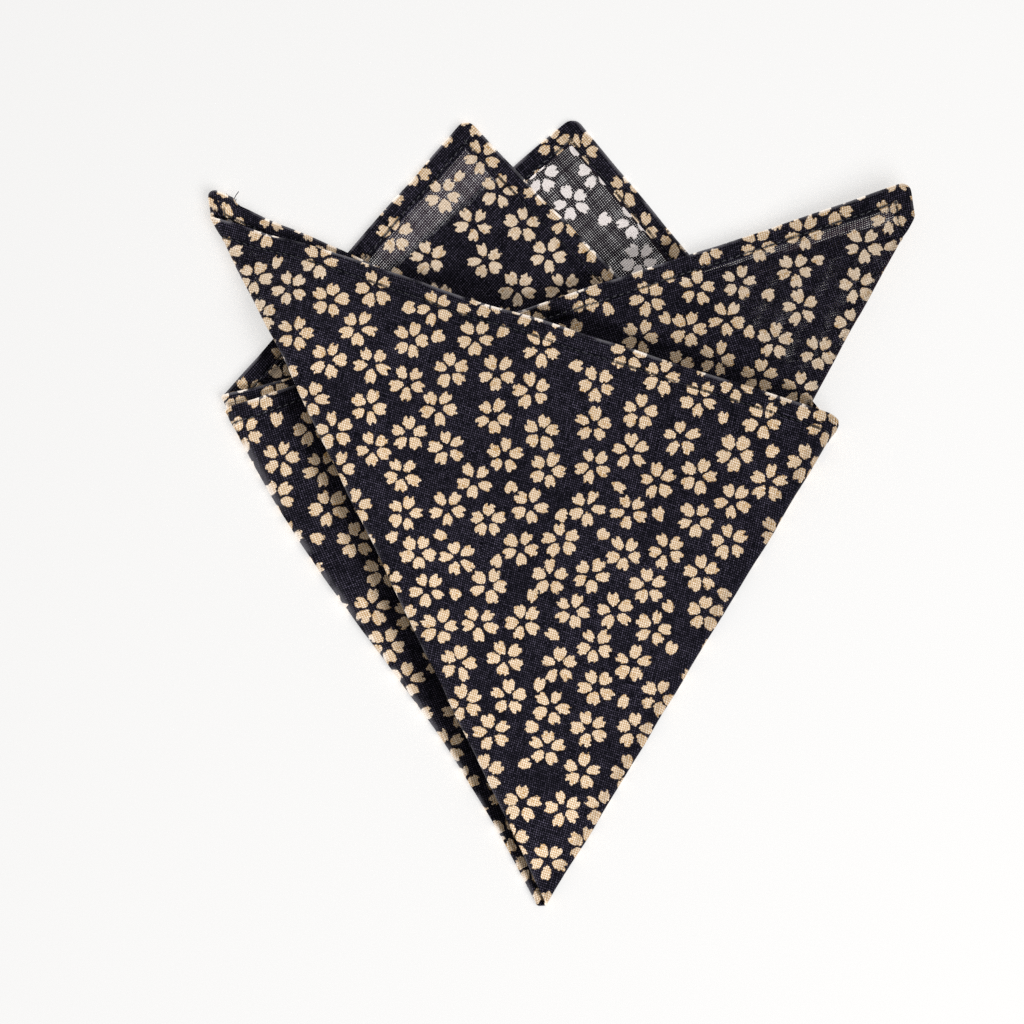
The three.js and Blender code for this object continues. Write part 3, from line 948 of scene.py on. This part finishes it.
def cotton(name, sheer):
    """Printed cotton. The sheer one is the same cloth where light passes between its threads."""
    material, surface = new_material(name, COTTON)
    tree = material.node_tree
    on_cloth = attribute(tree, "on_cloth")["Vector"]
    place = attribute(tree, "cloth_place")["Vector"]
    edge_light_and_shade = attribute(tree, "edge_light_and_shade")["Fac"]
    weave = new_node("Group", {"Place": on_cloth}, node_tree=WEAVE_GROUP)
    height = weave["Height"]
    tone = times_plus(minus(weave["Tone"], 0.5), TONE_CONTRAST, 0.5)
    lot, stray = by_lot(weave["Thread"])
    printed_at = strayed(place, stray, PRINT_STRAYS)
    motifs = []
    for motif in ("nearest_motif", "second_motif"):
        inputs = {"Place": printed_at, "Motif": attribute(tree, motif)["Vector"]}
        motifs.append(new_node("Group", inputs, node_tree=MOTIF_GROUP))
    ink, rim = (larger(motifs[0][part], motifs[1][part]) for part in ("Ink", "Rim"))

    # The ground: dark cloth with a painted highlight on its raised thread tops, shown as specks that
    # vary with each thread's own tone and in patches
    patch = waves(on_cloth, SPECK_HIGHLIGHT["patch_size"], 2)[0]
    speck_highlight = times(ramp(height, SPECK_HIGHLIGHT["height"]), times_plus(lot, SPECK_HIGHLIGHT["lot"], SPECK_HIGHLIGHT["least"]))
    speck_highlight = times(times(speck_highlight, ramp(tone, SPECK_HIGHLIGHT["tone"])), ramp(patch, SPECK_HIGHLIGHT["patch"]))
    ground = between(speck_highlight, GROUND, GROUND_SPECK_HIGHLIGHT)
    if sheer:
        passing = attribute(tree, "sheer")["Fac"]
        lit = times(ramp(passing, LIT_THROUGH["sheer"]), LIT_THROUGH["share"])
        ground = between(lit, ground, GROUND_LIT_THROUGH)
    ground = between(rim, ground, PETAL_RIM)

    # The petals: a covering ink whose threads differ in warmth by their own tone, with a painted
    # highlight on the tops of the threads; where the cloth is not sheer, painted shade darkens them
    # between the threads
    petal = between(ramp(tone, WARM_AND_SHADE["tone"]), PETAL_COLOUR, PETAL_WARM_AND_SHADE)
    crown_highlight = times(ramp(height, CROWN_HIGHLIGHT["height"]), times_plus(lot, CROWN_HIGHLIGHT["lot"], CROWN_HIGHLIGHT["least"]))
    petal = between(crown_highlight, petal, PETAL_CROWN_HIGHLIGHT)
    # Painted shade between the threads, for the shaded layer beneath that would show through the holes
    if not sheer:
        petal = between(ramp(height, WARM_AND_SHADE["height"]), petal, PETAL_WARM_AND_SHADE)

    # The edges of the hems and the folds: a painted highlight in patches, or painted shade on the
    # folds that face the window lamp; and painted shade along the row of the stitches
    patch = waves(on_cloth, EDGE_HIGHLIGHT_PATCHES["patch_size"], 1)[0]
    edge_highlight = times(ramp(patch, EDGE_HIGHLIGHT_PATCHES["patch"]), larger(edge_light_and_shade, 0.0))
    ground = between(edge_highlight, ground, GROUND_EDGE_HIGHLIGHT)
    petal = between(edge_highlight, petal, PETAL_EDGE_HIGHLIGHT)
    printed = between(ink, ground, petal)
    behind = between(ink, WRONG_GROUND, WRONG_PETAL)
    colour = between(parts_of(place)[2], printed, behind)
    # Painted shade on the folds that face the window lamp
    colour = between(larger(times(edge_light_and_shade, -EDGE_SHADE_SHARE), 0.0), colour, GROUND)
    # Painted shade along the sunken row of the stitches
    beside_row = unsigned(minus(parts_of(on_cloth)[2], HEM["stitch_at"]))
    groove_shade = times(ramp(beside_row, GROOVE_SHADE["beside"]), ramp(tone, GROOVE_SHADE["tone"]))
    colour = between(times(groove_shade, GROOVE_SHADE["share"]), colour, GROUND)
    feed(surface["Base Color"], colour)
    feed(surface["Normal"], new_node("Bump", {**BUMP, "Height": height})["Normal"])
    if sheer:
        opened = times(times(weave["Hole"], passing), times_plus(ink, -INK_FILLS, 1))
        feed(surface["Alpha"], minus(1, opened))
    return material


for name, sheer in (("printed cotton", False), ("sheer printed cotton", True)):
    cloth.data.materials.append(cotton(name, sheer))
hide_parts("handkerchief")
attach(cloth, "root")


# ---- The stitches ----
# One row of dark cotton thread, sewn by machine along each hem near its inner edge. Each stitch is
# pulled into the cloth at both ends, and it shows on both sides. At one corner the ends of the
# thread are cut a little long and stick out past the edge.

STITCH = {
    "step": 2.3, "length": 1.75, "thread": 0.15, "rise": 0.05, "slant": 0.16,
    "slant_varies": 0.6, "strays": 0.07, "seed": 4,
}
STITCH_SIDES = 5
ALONG_STITCH = np.linspace(-0.5, 0.5, 5)
THREAD = {"Base Color": (0.012, 0.012, 0.018, 1), "Roughness": 0.6}

# The loose ends: how far each is from the corner, its length past the edge, and how it leans
THREAD_ENDS = ((8.2, 3.4, -0.5), (9.6, 2.2, 0.2), (8.8, 4.1, 0.5), (11.5, 1.8, -0.9))
THREAD_END_RINGS = 9
THREAD_END_RISE = 0.5


def sheet_at(across, down):
    """The middle of the folded sheet at places in millimetres across and down it, and the direction
    that its printed side faces."""
    x, v = flat_place(across / WIDTH, down / LENGTH).T
    near = 0.05
    along_x = lay(x + near, v) - lay(x - near, v)
    along_v = lay(x, v + near) - lay(x, v - near)
    return lay(x, v), unit(np.cross(along_x, along_v))


def stitch_paths(lot):
    """Places across and down the cloth along each stitch."""
    inset = HEM["stitch_at"]
    paths = []
    for side in range(4):
        size = (WIDTH, LENGTH)[side % 2]
        middles = np.arange(inset, size - inset, STITCH["step"])
        along = middles[:, None] + ALONG_STITCH * STITCH["length"]
        slant = lot.uniform(-STITCH["slant_varies"], STITCH["slant_varies"], len(middles))
        slant = STITCH["slant"] * (1 + slant)
        stray = lot.uniform(-STITCH["strays"], STITCH["strays"], len(middles))
        inward = inset + slant[:, None] * ALONG_STITCH + stray[:, None]
        sides = (along, inward), (WIDTH - inward, along), (along, LENGTH - inward), (inward, along)
        paths.append(np.stack(sides[side], axis=-1))
    return np.concatenate(paths)


def thread_ends():
    """Paths of the loose ends of the thread: each leaves the stitches and sticks out over the edge."""
    paths = []
    for from_corner, length, lean in THREAD_ENDS:
        near_edge = np.array((HEM["stitch_at"], INSIDE))
        along = np.full(2, LENGTH - from_corner)
        (start, edge), up = sheet_at(near_edge, along)
        depth, _ = depths(near_edge, along)
        out = unit(edge - start)
        beside = np.cross(up[0], out)
        reach = np.linspace(0, HEM["stitch_at"] + length, THREAD_END_RINGS)
        past = np.maximum(reach - HEM["stitch_at"], 0) / length
        path = start + np.outer(reach, out) + np.outer(lean * past**2 * length, beside)
        height = depth[0] + STITCH["thread"] + THREAD_END_RISE * past
        paths.append(path + np.outer(height, up[0]))
    return np.array(paths)


def tubes(paths, up, first_point):
    """The points and faces of closed tubes of thread along paths that have equally many points."""
    onward = unit(np.gradient(paths, axis=1))
    beside = np.cross(up, onward)
    points = []
    for side in range(STITCH_SIDES):
        angle = 2 * math.pi * side / STITCH_SIDES
        points.append(paths + STITCH["thread"] * (math.cos(angle) * beside + math.sin(angle) * up))
    points = np.stack(points, axis=2)
    ring = first_point + np.arange(points[..., 0].size).reshape(points.shape[:3])
    turned = np.roll(ring, -1, axis=2)
    walls = np.stack((ring[:, :-1], ring[:, 1:], turned[:, 1:], turned[:, :-1]), axis=-1)
    ends = ring[:, 0].tolist() + ring[:, -1, ::-1].tolist()
    return points.reshape(-1, 3), walls.reshape(-1, 4).tolist() + ends


def make_stitches():
    flat = stitch_paths(np.random.default_rng(STITCH["seed"]))
    centre, normal = (part.reshape(*flat.shape[:2], 3) for part in sheet_at(*flat.reshape(-1, 2).T))
    printed, wrong = (part.reshape(flat.shape[:2]) for part in depths(*flat.reshape(-1, 2).T))
    lift = STITCH["rise"] - (STITCH["thread"] + STITCH["rise"]) * (2 * ALONG_STITCH) ** 4
    loose = thread_ends()
    upright = np.broadcast_to((0.0, 0.0, 1.0), loose.shape)
    rows_of_tubes = [
        (centre + normal * (printed + lift)[..., None], normal),
        (centre - normal * (wrong + lift)[..., None], -normal),
        (loose, upright),
    ]
    points, faces = np.empty((0, 3)), []
    for paths, up in rows_of_tubes:
        pressed_in = paths[..., 2].min(axis=1) < RESTS_AT + STITCH["thread"]
        tube_points, tube_faces = tubes(paths[~pressed_in], up[~pressed_in], len(points))
        points = np.concatenate((points, tube_points))
        faces += tube_faces
    mesh = bpy.data.meshes.new("stitches")
    mesh.from_pydata(placed(points), [], faces)
    mesh.shade_smooth()
    return added("stitches", mesh)


stitches = make_stitches()
stitches.data.materials.append(new_material("sewing thread", THREAD)[0])
stitches.parent = cloth


# ---- The floor and the light ----
# A plain pale surface, and soft studio light. The cloth is lit low from the right and a little in
# front, as by a window, and more weakly from behind and from the left. The floor has lamps of its
# own, which keeps the shadows on it pale.

FLOOR = {"Base Color": (0.9, 0.895, 0.885, 1), "Roughness": 0.9}
FLOOR_REACH = 3
WORLD_LIGHT = 0.19
LAYERS_SEEN_THROUGH = 24

# Azimuth from the right to the back and elevation, distance and size in metres, power in watts
LAMPS = {
    "window": (-41, 23, 1.6, 0.4, 246),
    "back": (112, 13, 1.2, 0.4, 18),
    "left": (203, 5, 1.4, 0.3, 16),
    "overhead": (90, 88, 2.5, 2.0, 48),
    "floor shade": (-47, 50, 1.6, 1.1, 9),
}
FLOOR_LAMPS = ("overhead", "floor shade")

# The window's light falls in a circle that fades towards its edge, beside the middle of the cloth
WINDOW = {"aside": (-64, -24), "width": 0.6, "fade": 0.78}

floor_mesh = bpy.data.meshes.new("floor")
corners = [(x * FLOOR_REACH, y * FLOOR_REACH, 0) for x, y in ((-1, -1), (1, -1), (1, 1), (-1, 1))]
floor_mesh.from_pydata(corners, [], [(0, 1, 2, 3)])
floor = added("floor", floor_mesh)
floor_mesh.materials.append(new_material("floor", FLOOR)[0])


def collected(name, *members):
    collection = bpy.data.collections.new(name)
    for member in members:
        collection.objects.link(member)
    return collection


only_cloth = collected("only cloth", cloth, stitches)
only_floor = collected("only floor", floor)
for name, (azimuth, elevation, distance, size, power) in LAMPS.items():
    data = bpy.data.lights.new(name, "SPOT" if name == "window" else "AREA")
    data.energy = power
    aim = Vector((middle.x, middle.y, 0))
    if name == "window":
        data.shadow_soft_size = size / 2
        data.spot_size = 2 * math.atan(WINDOW["width"] / 2 / distance)
        data.spot_blend = WINDOW["fade"]
        aim += Vector((*WINDOW["aside"], 0)) * MM
    else:
        data.size = size
    lamp = added(name, data)
    around, up = math.radians(azimuth), math.radians(elevation)
    way = Vector((math.cos(around) * math.cos(up), math.sin(around) * math.cos(up), math.sin(up)))
    lamp.location = aim + distance * way
    lamp.rotation_euler = way.to_track_quat("Z", "Y").to_euler()
    lamp.light_linking.receiver_collection = only_floor if name in FLOOR_LAMPS else only_cloth
    if name == "overhead":
        lamp.light_linking.blocker_collection = only_floor

scene = bpy.context.scene
scene.world = bpy.data.worlds.new("world")
scene.world.use_nodes = True
background = scene.world.node_tree.nodes["Background"].inputs
background["Color"].default_value = (1, 1, 1, 1)
background["Strength"].default_value = WORLD_LIGHT
scene.view_settings.view_transform = "Standard"
scene.cycles.transparent_max_bounces = LAYERS_SEEN_THROUGH
scene.cycles.use_denoising = False
